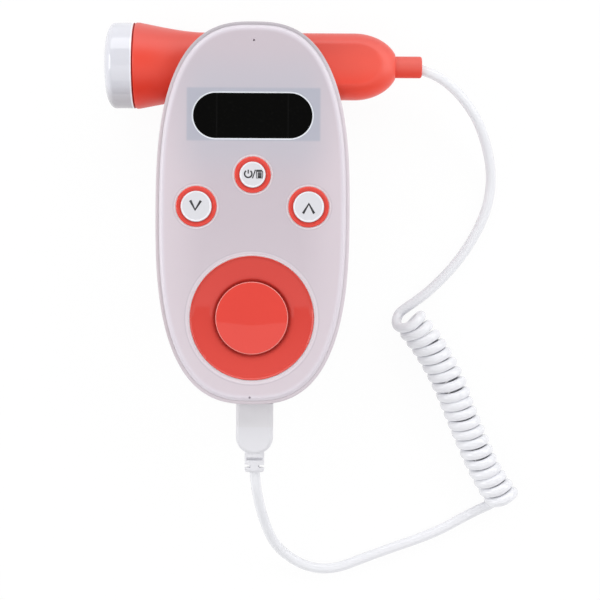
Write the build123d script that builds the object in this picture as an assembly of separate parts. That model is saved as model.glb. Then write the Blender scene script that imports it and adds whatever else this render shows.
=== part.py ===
"""Pocket fetal doppler: an egg-shaped display unit lying on its back, a hand probe in the cradle
behind its top end, and a curly cord from the probe to a plug in the unit's bottom end.

Millimetres, +Z up. The unit's long side runs along Y with its top end at +Y, the probe lies along X
with its sound head at -X, and z = 0 is the surface that the unit and the cord lie on.
"""
from build123d import *
import math
import os

os.makedirs("parts", exist_ok=True)

# ---- driving dimensions, mm ----
unit_x = -3.6              # the unit's middle; the probe is centred on x = 0, and the origin
unit_y = -1.0              # is under the middle of the unit and probe together
unit_half_width = 36.0
unit_top = 71.0
unit_bottom = -71.0
widest_y = 0.4             # where the egg is widest
egg_power = 2.7            # 2 is an ellipse, more is squarer
egg_steps = 40

rear_z = 1.0               # back face of the rear casing, on its feet
parting_z = 29.0           # where the rear casing meets the front shell
front_wall_z = 32.2
panel_seat_z = 33.8
rim_z = 35.3
rim_edge_rounding = 0.7
panel_top_z = 36.5
panel_edge_rounding = 1.9
wall = 2.2
panel_inset = 1.4
fit_gap = 0.15

window_y = 35.9
window_length = 44.2
window_width = 16.8
opening_half_length = 20.5 # the hole in the front wall and in the foam frame, behind the window
opening_half_width = 7.0
gasket_length = 49.4
gasket_width = 19.6
gasket_thickness = 0.5

button_sizes = {           # x from the midline, y, collar diameter, cap diameter
    "power": (0.0, 14.0, 13.5, 9.6),
    "down": (-20.8, 2.2, 15.1, 11.4),
    "up": (20.8, 2.2, 15.1, 11.4),
}
cap_flange = 0.9           # how far a cap's hidden flange stands out
collar_stand = 0.45        # how far a collar stands above the cover
cap_stand = 0.95

speaker_y = -39.0
dish_radius = 23.0
dish_rim_z = 36.6
moat_radius = 14.1         # the dish drops to its floor here, just outside the disc
moat_top_z = 35.95
dish_floor_z = 34.9
sound_hole_radius = 1.4
sound_hole_circle = 8.6
disc_radius = 13.4
disc_low_z = 36.1
disc_top_z = 37.5
disc_post_radius = 1.2
disc_post_circle = 11.5
basket_radius = 19.8
basket_inner_radius = 17.6
basket_flange_z = 30.9
cone_edge_z = 31.9
magnet_radius = 10.5
magnet_low_z = 21.2
magnet_top_z = 25.4
pole_radius = 3.8

pinhole_ys = (63.8, -68.4)
pinhole_radius = 0.45

probe_y = 55.7
probe_z = 16.6
probe_face_x = -60.0
head_joint_x = -49.0
rim_end_x = -47.4          # the trumpet's rim is straight this far behind the joint
width_flare_end_x = -21.0  # the trumpet has narrowed to the grip here, seen from above
height_flare_start_x = -47.0
height_flare_end_x = -34.5 # and here, seen from the side
spigot_radius = 14.2
spigot_end_x = -46.9
nose_start_x = 34.2
nose_reach = 16.9          # the nose's long half axis; it is cut off where the cord's stub starts
nose_last_angle = 67.4
probe_end_x = 60.0
head_radius = 16.2
head_rounding = 0.4        # of the head's rear edge, and of the rim that it meets
rim_rounding = 0.8
rim_radius = 16.3
grip_half_width = 12.6
grip_half_height = 9.0
grip_power = 3.4
stub_radius = 4.1
shell_wall = 1.8

cradle_wall_y = 41.5       # side of the cradle
cradle_roof_z = 26.0
cradle_lip_z = 7.2         # top of the lip that holds the probe from behind

cell_radius = 7.25
cell_length = 50.5
cell_x = 7.5               # each cell's axis, from the midline
cell_z = 10.9
cell_nub_radius = 2.75
contact_half_width = 5.5
bay_half_width = 15.6
bay_top_y = -9.2
bay_bottom_y = -62.2
bay_ceiling_z = 18.8
door_half_width = 18.5
door_top_y = -7.2
door_top_z = 2.7
door_travel = 10.0
hook_ys = (-20.0, -42.0)
hook_length = 6.0
hook_stem_x = (13.9, 15.2)
hook_lip_x = (15.0, 16.7)
hook_lip_z = 4.9
hook_top_z = 6.0
hook_room = 0.3

screw_places = ((-24.0, 21.5), (24.0, 21.5), (-24.0, -28.0), (24.0, -28.0))
post_radius = 3.0
screw_radius = 1.2
screw_end_z = 31.5
screw_head_radius = 2.3
screw_head_low_z = 1.9
screw_head_top_z = 3.6
foot_places = ((-15.0, 52.0), (15.0, 52.0), (-21.3, -45.0), (21.3, -45.0))
foot_radius = 2.3

board_z = 28.8
board_thickness = 1.6
chip_thickness = 1.2
switch_half_side = 2.6
switch_height = 1.0

cord_diameter = 3.8
coil_diameter = 13.0
plug_x = -2.6
plug_z = 24.0
plug_start_y = -71.3       # the plug's face against the unit's bottom end
plug_end_y = -90.3
boot_end_y = -97.1
plug_width = 13.9
plug_thickness = 7.0
plug_rounding = 1.4
boot_half_width = 3.7
boot_half_height = 2.9
boot_slot_width = 1.0
tongue_half_width = 2.6
tongue_half_height = 0.35
can_half_width = 3.45      # the plug's metal can
can_half_height = 1.35
can_wall = 0.35
can_start_y = -80.0
socket_depth = 9.0
socket_half_width = 4.6
socket_low_z = 21.5
socket_top_z = 26.4
socket_wall = 0.7

parts = {}


# ---- helpers ----
def egg(inset, height):
    """The unit's outline, drawn in by inset, as a face at the given height."""
    points = []
    for step in range(egg_steps):
        angle = 2 * math.pi * step / egg_steps
        cosine = math.cos(angle)
        sine = math.sin(angle)
        reach = (unit_top - widest_y if sine > 0 else widest_y - unit_bottom) - inset
        x = (unit_half_width - inset) * math.copysign(abs(cosine) ** (2 / egg_power), cosine)
        y = widest_y + reach * math.copysign(abs(sine) ** (2 / egg_power), sine)
        points.append((x, y))
    return Pos(0, 0, height) * make_face(Spline(*points, periodic=True))


def egg_block(inset, low, high):
    """A straight-sided egg between two heights."""
    return extrude(egg(inset, low), amount=high - low)


def block(low, high):
    """A box between two opposite corners."""
    sides = [b - a for a, b in zip(low, high)]
    middle = [(a + b) / 2 for a, b in zip(low, high)]
    return Pos(*middle) * Box(*sides)


def rod(radius, x, y, low, high):
    """An upright round bar."""
    return Pos(x, y, (low + high) / 2) * Cylinder(radius, high - low)


def lathe_z(*profile):
    """A solid turned about Z from (radius, height) points."""
    return revolve(Plane.XZ * make_face(Polyline(*profile, close=True)), Axis.Z)


def lathe_x(*profile):
    """A solid turned about X from (x, radius) points."""
    return revolve(make_face(Polyline(*profile, close=True)), Axis.X)


def round_edges_at(shape, height, radius):
    """Round every edge that lies flat at one height."""
    edges = shape.edges().filter_by(lambda e: abs(e.bounding_box().min.Z - height) < 0.01
                                    and abs(e.bounding_box().max.Z - height) < 0.01)
    return fillet(edges, radius)


def stadium(length, width, low, high):
    """An upright block with half-round ends, over the window's centre."""
    return extrude(Pos(0, window_y, low) * SlotOverall(length, width), amount=high - low)


def display_hole(low, high):
    """The room that the display's face looks through."""
    return block((-opening_half_length, window_y - opening_half_width, low),
                 (opening_half_length, window_y + opening_half_width, high))


# ---- front shell: side band and the wall that carries the cover ----
def make_front_shell():
    shell = egg_block(0, parting_z, rim_z)
    shell = round_edges_at(shell, rim_z, rim_edge_rounding)
    shell -= egg_block(wall, parting_z - 1, front_wall_z)
    shell -= egg_block(panel_inset - fit_gap, panel_seat_z, rim_z + 1)
    for x, y in screw_places:
        shell += rod(post_radius, x, y, parting_z, front_wall_z + 0.2)
        shell -= rod(screw_radius + 0.05, x, y, parting_z - 1, front_wall_z)
    shell -= display_hole(parting_z, rim_z)
    gasket_room = 0.1
    half_length = gasket_length / 2 + gasket_room
    half_width = gasket_width / 2 + gasket_room
    shell -= block((-half_length, window_y - half_width, panel_seat_z - gasket_thickness),
                   (half_length, window_y + half_width, rim_z))
    for x, y, collar, cap in button_sizes.values():
        shell -= rod(cap / 2 + cap_flange + 0.4, x, y, parting_z, rim_z)
    shell -= rod(basket_radius + 0.2, 0, speaker_y, parting_z, rim_z)
    return shell


# ---- cover: a thick milky plate with a rounded edge ----
def make_front_panel():
    below = panel_seat_z - 1
    above = panel_top_z + 1
    ring_gap = 0.2
    panel = egg_block(panel_inset, panel_seat_z + 0.05, panel_top_z)
    panel = round_edges_at(panel, panel_top_z, panel_edge_rounding)
    panel -= stadium(window_length + 2 * fit_gap, window_width + 2 * fit_gap, below, above)
    for x, y, collar, cap in button_sizes.values():
        radius = collar / 2
        panel -= rod(radius + fit_gap, x, y, below, above)
        panel -= Pos(x, y, panel_top_z - 0.25) * Cone(radius + ring_gap, radius + 1.3, 0.5)
    panel -= rod(dish_radius + fit_gap, 0, speaker_y, below, above)
    panel -= Pos(0, speaker_y, panel_top_z - 0.3) * Cone(dish_radius + ring_gap, dish_radius + 2.2, 0.6)
    for y in pinhole_ys:
        panel -= rod(pinhole_radius, 0, y, panel_top_z - 1.0, above)
    return panel


# ---- rear casing: round-backed tub with the cradle slot, battery bay and door seat ----
def round_back(extra):
    """The casing's outer form, or its inner form with extra as the wall."""
    levels = ((parting_z, 0.0), (22.0, 0.5), (13.0, 1.9), (6.0, 4.2), (2.6, 6.0), (rear_z, 7.6))
    return loft([egg(inset + extra, height) for height, inset in levels])


def make_rear_casing():
    far = 100
    floor_top_z = 4.6
    partition = 1.6
    slot_half_width = 17.1
    slot_low_z = 4.7
    slot_top_z = 6.3
    hollow = round_back(wall) + egg_block(wall, parting_z - 0.5, parting_z + 1)
    hollow -= block((-far, -far, 0), (far, far, floor_top_z))
    hollow -= block((-far, cradle_wall_y - wall, 0), (far, far, cradle_roof_z + partition))
    hollow -= block((-bay_half_width - partition, unit_bottom, 0),
                    (bay_half_width + partition, bay_top_y + partition, bay_ceiling_z + 1.4))
    for x, y in screw_places:
        hollow -= rod(post_radius, x, y, 0, parting_z)
    casing = round_back(0) - hollow
    casing -= block((-far, cradle_wall_y, cradle_lip_z), (far, far, cradle_roof_z))
    casing -= block((-bay_half_width, bay_bottom_y, 0), (bay_half_width, bay_top_y, bay_ceiling_z))
    casing -= block((-door_half_width - 0.2, -far, 0),
                    (door_half_width + 0.2, door_top_y + 0.2, door_top_z + 0.2))
    for y in hook_ys:
        top = y + hook_length / 2 + hook_room
        bottom = y - hook_length / 2 - hook_room - door_travel
        casing -= block((-slot_half_width, bottom, slot_low_z), (slot_half_width, top, slot_top_z))
        casing -= block((-slot_half_width, bottom, 0), (slot_half_width, top - door_travel, slot_top_z))
    for x, y in screw_places:
        casing -= rod(screw_radius + 0.2, x, y, 0, parting_z + 1)
        casing -= rod(screw_head_radius + 0.3, x, y, 0, screw_head_top_z)
    for x, y in foot_places:
        casing -= rod(foot_radius + 0.05, x, y, 0, rear_z + 0.8)
    mouth_half_width = 4.1
    mouth_half_height = 2.0
    mouth_x = plug_x - unit_x
    casing -= block((mouth_x - mouth_half_width, unit_bottom - 5, plug_z - mouth_half_height),
                    (mouth_x + mouth_half_width, -64.0, plug_z + mouth_half_height))
    return casing


# ---- small things on the rear casing ----
def make_feet():
    return [rod(foot_radius, x, y, 0, rear_z + 0.75) for x, y in foot_places]


def make_screws():
    cross_length = 1.5
    cross_width = 0.3
    cross_top_z = 2.6
    screws = []
    for x, y in screw_places:
        screw = rod(screw_head_radius, x, y, screw_head_low_z, screw_head_top_z)
        screw += rod(screw_radius, x, y, screw_head_top_z, screw_end_z)
        for across, along in ((cross_length, cross_width), (cross_width, cross_length)):
            screw -= block((x - across, y - along, 1), (x + across, y + along, cross_top_z))
        screws.append(screw)
    return screws


def make_cradle_pads():
    """Two soft strips on the cradle's wall, which the probe rests against."""
    half_length = 5
    thickness = 2.2
    return [block((x - half_length, cradle_wall_y, 12), (x + half_length, cradle_wall_y + thickness, 21))
            for x in (-13, 13)]


def make_battery_door():
    """A sliding door with four thumb grooves and four hooks that catch under the casing."""
    door = round_back(0) & block((-door_half_width, -100, 0), (door_half_width, door_top_y, door_top_z))
    for groove in range(4):
        y = door_top_y - 5 - 2.0 * groove
        door -= block((-7, y - 0.4, 0), (7, y + 0.4, rear_z + 0.5))
    for side in (-1, 1):
        stem = sorted(side * x for x in hook_stem_x)
        lip = sorted(side * x for x in hook_lip_x)
        for y in hook_ys:
            low_y = y - hook_length / 2
            high_y = y + hook_length / 2
            door += block((stem[0], low_y, door_top_z - 0.5), (stem[1], high_y, hook_top_z))
            door += block((lip[0], low_y, hook_lip_z), (lip[1], high_y, hook_top_z))
    return door


def make_cells():
    """Two cells side by side, each with its nub, lying along Y in opposite directions."""
    nub_height = 1.2
    nub_root = 0.6
    cells = []
    middle_y = (bay_top_y + bay_bottom_y) / 2
    for side in (-1, 1):
        body = Cylinder(cell_radius, cell_length - nub_height)
        nub = Cylinder(cell_nub_radius, nub_height + nub_root)
        nub = Pos(0, 0, side * (cell_length - nub_root) / 2) * nub
        cells.append(Pos(side * cell_x, middle_y, cell_z) * Rot(90, 0, 0) * (body + nub))
    return cells


def make_battery_contacts():
    """Thin plates at both ends of each cell."""
    thickness = 0.4
    contacts = []
    for x in (-cell_x, cell_x):
        for y in (bay_top_y - thickness - 0.05, bay_bottom_y + 0.05):
            contacts.append(block((x - contact_half_width, y, cell_z - 5.4),
                                  (x + contact_half_width, y + thickness, cell_z + 5.6)))
    return contacts


# ---- display, board and switches ----
def make_display_gasket():
    frame = block((-gasket_length / 2, window_y - gasket_width / 2, panel_seat_z - gasket_thickness),
                  (gasket_length / 2, window_y + gasket_width / 2, panel_seat_z))
    return frame - display_hole(0, panel_top_z)


def make_window():
    top = panel_top_z - 0.1
    pane = stadium(window_length, window_width, panel_seat_z + 0.1, top)
    return round_edges_at(pane, top, 0.3)


def make_lcd():
    half_length = 23
    half_width = 9.5
    return block((-half_length, window_y - half_width, board_z + board_thickness),
                 (half_length, window_y + half_width, front_wall_z - 0.1))


def make_main_board():
    """A board under the display and the buttons, whose end is cut off straight above the speaker."""
    far = 66
    board_end_y = -14
    board = egg_block(wall + 1.2, board_z, board_z + board_thickness)
    board &= block((-far, board_end_y, 0), (far, far, far))
    for x, y in screw_places[:2]:
        board -= rod(post_radius + 0.3, x, y, 0, far)
    return board


def make_board_chips():
    low = board_z - chip_thickness
    chips = [block((-8, 16, low), (2, 26, board_z)), block((6, 18, low), (13, 23, board_z))]
    chips += [block((x, 6, low + 0.4), (x + 1.6, 6.8, board_z)) for x in (-12, -7, -2, 3, 8)]
    chips.append(rod(2.5, 12, -6, board_z - 3, board_z))
    return chips


def make_tact_switches():
    low = board_z + board_thickness
    top = low + switch_height
    half = switch_half_side
    switches = []
    for x, y, collar, cap in button_sizes.values():
        base = block((x - half, y - half, low), (x + half, y + half, top))
        switches.append(base + rod(1.2, x, y, top, top + 0.3))
    return switches


# ---- buttons: a fixed coral collar, and a cap that travels through it ----
def make_collar(x, y, collar, cap):
    low = panel_seat_z - 1
    top = panel_top_z + collar_stand
    ring = rod(collar / 2, x, y, panel_seat_z + 0.02, top)
    ring -= rod(cap / 2 + 0.2, x, y, low, top + 1)
    ring -= rod(cap / 2 + cap_flange + 0.25, x, y, low, panel_seat_z + 1.2)
    return round_edges_at(ring, top, 0.6)


def make_cap(x, y, collar, cap):
    """The cap, its hidden flange, and the stem that presses the switch."""
    low = panel_seat_z + 0.2
    top = panel_top_z + cap_stand
    body = rod(cap / 2, x, y, low, top)
    body = round_edges_at(body, top, 0.55)
    body += rod(cap / 2 + cap_flange, x, y, low, panel_seat_z + 1.0)
    return body + rod(1.6, x, y, 32.6, low + 0.2)


# ---- loudspeaker ----
def make_dish():
    """A shallow bowl that drops to its floor just outside the disc, with eight sound holes there."""
    low = panel_seat_z + 0.05
    mouth = dish_radius - 0.5
    hollow = ThreePointArc((mouth, dish_rim_z), (dish_radius - 4.9, moat_top_z + 0.15),
                           (moat_radius, moat_top_z))
    outline = Polyline((moat_radius, moat_top_z), (moat_radius - 0.2, dish_floor_z), (0, dish_floor_z),
                       (0, low), (dish_radius, low), (dish_radius, dish_rim_z - 0.2),
                       (dish_radius - 0.2, dish_rim_z), (mouth, dish_rim_z))
    dish = revolve(Plane.XZ * make_face(hollow + outline), Axis.Z)
    for place in range(8):
        hole = rod(sound_hole_radius, sound_hole_circle, 0, low - 1, dish_rim_z)
        dish -= Rot(0, 0, 45 * place + 22.5) * hole
    return Pos(0, speaker_y, 0) * dish


def make_disc():
    """The round plate over the dish, on four posts."""
    disc = round_edges_at(rod(disc_radius, 0, 0, disc_low_z, disc_top_z), disc_top_z, 0.5)
    post = rod(disc_post_radius, disc_post_circle, 0, dish_floor_z, disc_low_z + 0.4)
    for place in range(4):
        disc += Rot(0, 0, 90 * place) * post
    return Pos(0, speaker_y, 0) * disc


def make_speaker_gasket():
    ring = lathe_z((basket_inner_radius, cone_edge_z), (basket_radius, cone_edge_z),
                   (basket_radius, panel_seat_z), (basket_inner_radius, panel_seat_z))
    return Pos(0, speaker_y, 0) * ring


def make_speaker_frame():
    """A pressed basket: a flange, a sloping wall with four windows, and a seat for the magnet."""
    seat_z = magnet_top_z + 1.0
    frame = lathe_z((basket_inner_radius, basket_flange_z), (basket_radius, basket_flange_z),
                    (basket_radius, cone_edge_z), (16.6, cone_edge_z), (9.4, seat_z), (4.0, seat_z),
                    (4.0, magnet_top_z), (10.2, magnet_top_z))
    window = Pos(14, 0, 0) * Box(7, 6, 3)
    for place in range(4):
        frame -= Pos(0, 0, 28.4) * Rot(0, 0, 45 + 90 * place) * window
    return Pos(0, speaker_y, 0) * frame


def make_speaker_cone():
    """A shallow paper cone with a small dome in its middle."""
    edge = cone_edge_z + 0.05
    thickness = 0.35
    cone = lathe_z((0, 28.6), (4.5, 27.6), (16.2, edge), (17.4, edge), (17.4, edge + thickness),
                   (16.0, edge + thickness), (4.5, 28.1), (0, 29.1))
    return Pos(0, speaker_y, 0) * cone


def make_speaker_magnet():
    pole_top_z = magnet_top_z + 1.8
    magnet = lathe_z((0, magnet_low_z), (magnet_radius, magnet_low_z), (magnet_radius, magnet_top_z),
                     (pole_radius, magnet_top_z), (pole_radius, pole_top_z), (0, pole_top_z))
    return Pos(0, speaker_y, 0) * magnet


# ---- socket for the cord's plug ----
def make_socket():
    """The metal can in the unit's bottom end, open toward the plug."""
    x = plug_x - unit_x
    inner = socket_half_width - socket_wall
    can = block((x - socket_half_width, -67.6, socket_low_z), (x + socket_half_width, -59.8, socket_top_z))
    return can - block((x - inner, -70, socket_low_z + socket_wall), (x + inner, -61.2, socket_top_z - 0.6))


def make_socket_board():
    x = plug_x - unit_x
    return block((x - 8, -67.2, socket_low_z - 1.1), (x + 8, -60.0, socket_low_z))


# ---- hand probe, modelled about its own axis ----
def probe_section(x, half_width, half_height, power):
    """A superellipse across the probe's axis."""
    points = []
    steps = 24
    for step in range(steps):
        angle = 2 * math.pi * (step + 0.5) / steps
        cosine = math.cos(angle)
        sine = math.sin(angle)
        points.append((half_width * math.copysign(abs(cosine) ** (2 / power), cosine),
                       half_height * math.copysign(abs(sine) ** (2 / power), sine)))
    return Plane((x, 0, 0), x_dir=(0, 1, 0), z_dir=(1, 0, 0)) * make_face(Spline(*points, periodic=True))


def flare_width(x):
    """Half width of the trumpet at x: the rim's radius, easing to the grip's."""
    part = (width_flare_end_x - x) / (width_flare_end_x - rim_end_x)
    part = min(1.0, max(0.0, part))
    return grip_half_width + (rim_radius - grip_half_width) * part ** 2 * (1.55 - 0.55 * part)


def flare_height(x):
    """Half height of the trumpet at x: round by the head, then down to the flat grip in an S."""
    part = (height_flare_end_x - x) / (height_flare_end_x - height_flare_start_x)
    part = min(1.0, max(0.0, part))
    return grip_half_height + (rim_radius - grip_half_height) * part ** 2 * (3 - 2 * part)


def handle_form(inset):
    """Trumpet, flat oval grip and rounded nose."""
    trumpet = []
    steps = 16
    for step in range(steps + 1):
        x = head_joint_x + (width_flare_end_x - head_joint_x) * step / steps
        squareness = 2 + (grip_power - 2) * min(1.0, 1.3 * step / steps)
        trumpet.append(probe_section(x, flare_width(x) - inset, flare_height(x) - inset, squareness))
    nose = []
    stations = 7
    for station in range(stations + 1):
        turn = math.radians(nose_last_angle * station / stations)
        nose.append(probe_section(nose_start_x + nose_reach * math.sin(turn),
                                  grip_half_width * math.cos(turn) - inset,
                                  grip_half_height * math.cos(turn) ** 0.669 - inset,
                                  2 + (grip_power - 2) * math.cos(turn) ** 2))
    grip = extrude(trumpet[-1], amount=nose_start_x - width_flare_end_x)
    return loft(trumpet) + grip + loft(nose)


def make_probe_shells():
    """The handle's two halves, hollow, with the head's seat at one end and the stub's at the other."""
    far = 80
    half = 30
    cavity_end_x = 45.0
    fit = 0.05
    before_joint = head_joint_x - 1
    cavity = handle_form(shell_wall) & block((before_joint, -half, -half), (cavity_end_x, half, half))
    body = handle_form(0)
    body = fillet(body.edges().group_by(Axis.X)[0], rim_rounding) - cavity
    seat_radius = spigot_radius + fit
    body -= lathe_x((before_joint, 0), (before_joint, seat_radius), (spigot_end_x + 0.2, seat_radius),
                    (spigot_end_x + 3, 11.0), (spigot_end_x + 3, 0))
    stub_bore = stub_radius + 0.02
    body -= lathe_x((44, 0), (44, stub_bore), (52, stub_bore), (52, 0))
    upper = body & block((-far, -half, 0), (far, half, half))
    lower = body & block((-far, -half, -half), (far, half, 0))
    return upper, lower


def make_head_cap():
    """White sound head: a slightly domed face, a round shoulder, and a spigot inside the shells."""
    shoulder_x = probe_face_x + 1.7
    floor_x = probe_face_x + 2.2
    bore_radius = 12.6
    floor_radius = 10.0
    outline = ThreePointArc((probe_face_x, 0), (probe_face_x + 0.42, 8.1), (shoulder_x, head_radius))
    outline += Polyline((shoulder_x, head_radius), (head_joint_x, head_radius),
                        (head_joint_x, spigot_radius), (spigot_end_x, spigot_radius),
                        (spigot_end_x, bore_radius), (probe_face_x + 5.4, bore_radius),
                        (floor_x, floor_radius), (floor_x, 0), (probe_face_x, 0))
    profile = make_face(outline)
    shoulder = profile.vertices().sort_by_distance((shoulder_x, head_radius, 0))[0]
    profile = fillet(shoulder, 3.6)
    rear_edge = profile.vertices().sort_by_distance((head_joint_x, head_radius, 0))[0]
    return revolve(fillet(rear_edge, head_rounding), Axis.X)


def make_sound_stack():
    """Matching layer, two half-round crystals and the backing behind them."""
    far = 80
    half_slit = 0.5

    def layer_disc(start, thickness, radius):
        return lathe_x((start, 0), (start, radius), (start + thickness, radius), (start + thickness, 0))

    layer_x = probe_face_x + 2.25
    crystal_x = layer_x + 0.6
    backing_x = crystal_x + 1.0
    crystal = layer_disc(crystal_x, backing_x - crystal_x, 9.2)
    crystals = [crystal & block((-far, half_slit, -far), (far, far, far)),
                crystal & block((-far, -far, -far), (far, -half_slit, far))]
    return layer_disc(layer_x, crystal_x - layer_x, 9.8), crystals, layer_disc(backing_x, 5.4, 9.6)


def make_probe_board():
    return block((-30, -8, -board_thickness / 2), (38, 8, board_thickness / 2))


def make_strain_relief():
    """The stub that the cord comes out of, with a rounded end."""
    rounding = 0.6
    chamfer = 0.17
    return lathe_x((46.0, 0), (46.0, stub_radius), (probe_end_x - rounding, stub_radius),
                   (probe_end_x - chamfer, stub_radius - chamfer), (probe_end_x, stub_radius - rounding),
                   (probe_end_x, 0))


# ---- cord: routes are the middle of the cord ----
upper_route = [
    (56.8, 55.5, 16.6), (63.6, 53.9, 16.5), (70.6, 49.6, 15.9), (77.0, 43.4, 14.0),
    (82.4, 35.8, 10.8), (86.2, 26.4, 6.9), (88.4, 16.0, 3.6), (87.5, 5.2, 2.1),
    (83.9, -4.4, 1.9), (78.6, -13.6, 1.9), (72.0, -22.0, 1.9), (64.6, -29.3, 1.9),
    (58.6, -33.9, 1.9),
]
coil_axis = [
    (53.8, -38.1, 6.5), (60.9, -46.3, 6.5), (67.2, -55.9, 6.5), (72.6, -66.6, 6.5),
    (77.1, -77.8, 6.5), (81.8, -89.0, 6.5), (87.0, -100.5, 6.5), (93.4, -110.5, 6.5),
]
lower_route = [
    (86.6, -113.2, 1.9), (79.0, -117.0, 1.9), (69.4, -122.4, 1.9), (59.5, -126.4, 1.9),
    (49.2, -129.9, 1.9), (38.6, -133.9, 1.9), (28.6, -137.8, 1.9), (19.2, -137.6, 2.0),
    (10.8, -133.4, 3.8), (4.6, -127.0, 8.2), (1.2, -118.6, 14.0), (-1.0, -109.8, 19.4),
    (-2.2, -102.6, 22.8), (-2.6, -95.6, 24.0),
]


def corner_radii(route):
    """The largest arc that fits each corner: 0.45 of the shorter run over tan(half the turn)."""
    radii = []
    for before, corner, after in zip(route, route[1:], route[2:]):
        arriving = Vector(*corner) - Vector(*before)
        leaving = Vector(*after) - Vector(*corner)
        turn = math.radians(arriving.get_angle(leaving))
        radii.append(0.45 * min(arriving.length, leaving.length) / math.tan(turn / 2))
    return radii


def tube(name, route, diameter):
    """A round tube along straight runs joined by tangent arcs."""
    radii = corner_radii(route)
    path = FilletPolyline(*route, radius=radii)
    section = Plane(path @ 0, z_dir=path % 0) * Circle(diameter / 2)
    solid = sweep(section, path=path)
    expected = math.pi * diameter ** 2 / 4 * path.length
    print(f"{name}: length {path.length:.1f}, volume over expected {solid.volume / expected:.4f},"
          f" radii {[round(r, 1) for r in radii]}")
    return solid


def strand(before, end, length):
    """A short straight length of cord that carries on past the end of a run."""
    run = Vector(*end) - Vector(*before)
    return extrude(Plane(end, z_dir=run) * Circle(cord_diameter / 2), amount=length)


def make_coil():
    """One fat tube of the coil's outer size, with the strands of its first and last turn."""
    coil = tube("cord_coil", coil_axis, coil_diameter)
    coil += strand(upper_route[-2], upper_route[-1], 8.5)
    return coil + strand(lower_route[1], lower_route[0], 6.5)


# ---- plug ----
def plug_form():
    """The plug's outer form: flat, with a half-round end and soft edges."""
    outline = Pos(0, (plug_start_y + plug_end_y) / 2) * Rectangle(plug_width, plug_start_y - plug_end_y)
    outline = fillet(outline.vertices().group_by(Axis.Y)[0], plug_width / 2 - 0.05)
    body = extrude(Pos(0, 0, -plug_thickness / 2) * outline, amount=plug_thickness)
    body = round_edges_at(body, plug_thickness / 2, plug_rounding)
    return round_edges_at(body, -plug_thickness / 2, plug_rounding)


def make_plug_body():
    fit = 0.05
    half_width = can_half_width + fit
    half_height = can_half_height + fit
    return plug_form() - block((-half_width, can_start_y - 2, -half_height),
                               (half_width, plug_start_y + 1, half_height))


def make_plug_shell():
    """The plug's metal can, open toward the socket."""
    outer = block((-can_half_width, can_start_y, -can_half_height),
                  (can_half_width, plug_start_y + socket_depth, can_half_height))
    inner_half_width = can_half_width - can_wall
    inner_half_height = can_half_height - can_wall
    return outer - block((-inner_half_width, can_start_y + 0.4, -inner_half_height),
                         (inner_half_width, 0, inner_half_height))


def make_plug_contacts():
    return block((-tongue_half_width, can_start_y + 0.4, -tongue_half_height),
                 (tongue_half_width, plug_start_y + socket_depth - 1.5, tongue_half_height))


def make_plug_boot():
    """An oval boot that fits round the plug's end, with slots that let it bend."""
    far = 10
    root = 1.3
    slot_floor = 1.8
    section = Plane((0, plug_end_y + root, 0), x_dir=(1, 0, 0), z_dir=(0, -1, 0))
    boot = section * Ellipse(boot_half_width, boot_half_height)
    boot = extrude(boot, amount=plug_end_y + root - boot_end_y)
    boot -= plug_form()
    flat_slot_y = plug_end_y - 1.9
    side_slot_y = plug_end_y - 4.2
    for side in (-1, 1):
        heights = sorted((side * slot_floor, side * far))
        boot -= block((-far, flat_slot_y - boot_slot_width, heights[0]), (far, flat_slot_y, heights[1]))
        widths = sorted((side * 2.4, side * far))
        boot -= block((widths[0], side_slot_y - boot_slot_width, -far), (widths[1], side_slot_y, far))
    return boot


# ---- put the pieces in place and write them ----
def place_unit(node, *shapes):
    moved = [Pos(unit_x, unit_y, 0) * shape for shape in shapes]
    parts[node] = moved[0] if len(moved) == 1 else Compound(children=moved)


def place_probe(node, *shapes):
    moved = [Pos(0, probe_y, probe_z) * shape for shape in shapes]
    parts[node] = moved[0] if len(moved) == 1 else Compound(children=moved)


def place_plug(node, shape):
    parts[node] = Pos(plug_x, unit_y, plug_z) * shape


place_unit("front_shell", make_front_shell())
place_unit("front_panel", make_front_panel())
place_unit("rear_casing", make_rear_casing())
place_unit("rubber_feet", *make_feet())
place_unit("case_screws", *make_screws())
place_unit("cradle_pads", *make_cradle_pads())
place_unit("battery_door", make_battery_door())
place_unit("battery_cells", *make_cells())
place_unit("battery_contacts", *make_battery_contacts())
place_unit("display_gasket", make_display_gasket())
place_unit("display_window", make_window())
place_unit("lcd_module", make_lcd())
place_unit("main_board", make_main_board())
place_unit("board_chips", *make_board_chips())
place_unit("tact_switches", *make_tact_switches())
for button, sizes in button_sizes.items():
    place_unit(f"{button}_button_collar", make_collar(*sizes))
    place_unit(f"{button}_button_cap", make_cap(*sizes))
place_unit("speaker_dish", make_dish())
place_unit("speaker_disc", make_disc())
place_unit("speaker_gasket", make_speaker_gasket())
place_unit("speaker_frame", make_speaker_frame())
place_unit("speaker_cone", make_speaker_cone())
place_unit("speaker_magnet", make_speaker_magnet())
place_unit("probe_socket", make_socket())
place_unit("socket_board", make_socket_board())

upper_shell, lower_shell = make_probe_shells()
place_probe("probe_upper_shell", upper_shell)
place_probe("probe_lower_shell", lower_shell)
place_probe("probe_head_cap", make_head_cap())
matching_layer, crystals, backing = make_sound_stack()
place_probe("matching_layer", matching_layer)
place_probe("piezo_crystals", *crystals)
place_probe("crystal_backing", backing)
place_probe("probe_board", make_probe_board())
place_probe("probe_strain_relief", make_strain_relief())

parts["upper_lead"] = tube("upper_lead", upper_route, cord_diameter)
parts["cord_coil"] = make_coil()
parts["lower_lead"] = tube("lower_lead", lower_route, cord_diameter)
place_plug("plug_body", make_plug_body())
place_plug("plug_boot", make_plug_boot())
place_plug("plug_shell", make_plug_shell())
place_plug("plug_contacts", make_plug_contacts())

for node, shape in parts.items():
    export_step(shape, f"parts/{node}.step")
print(len(parts), "parts")
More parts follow.
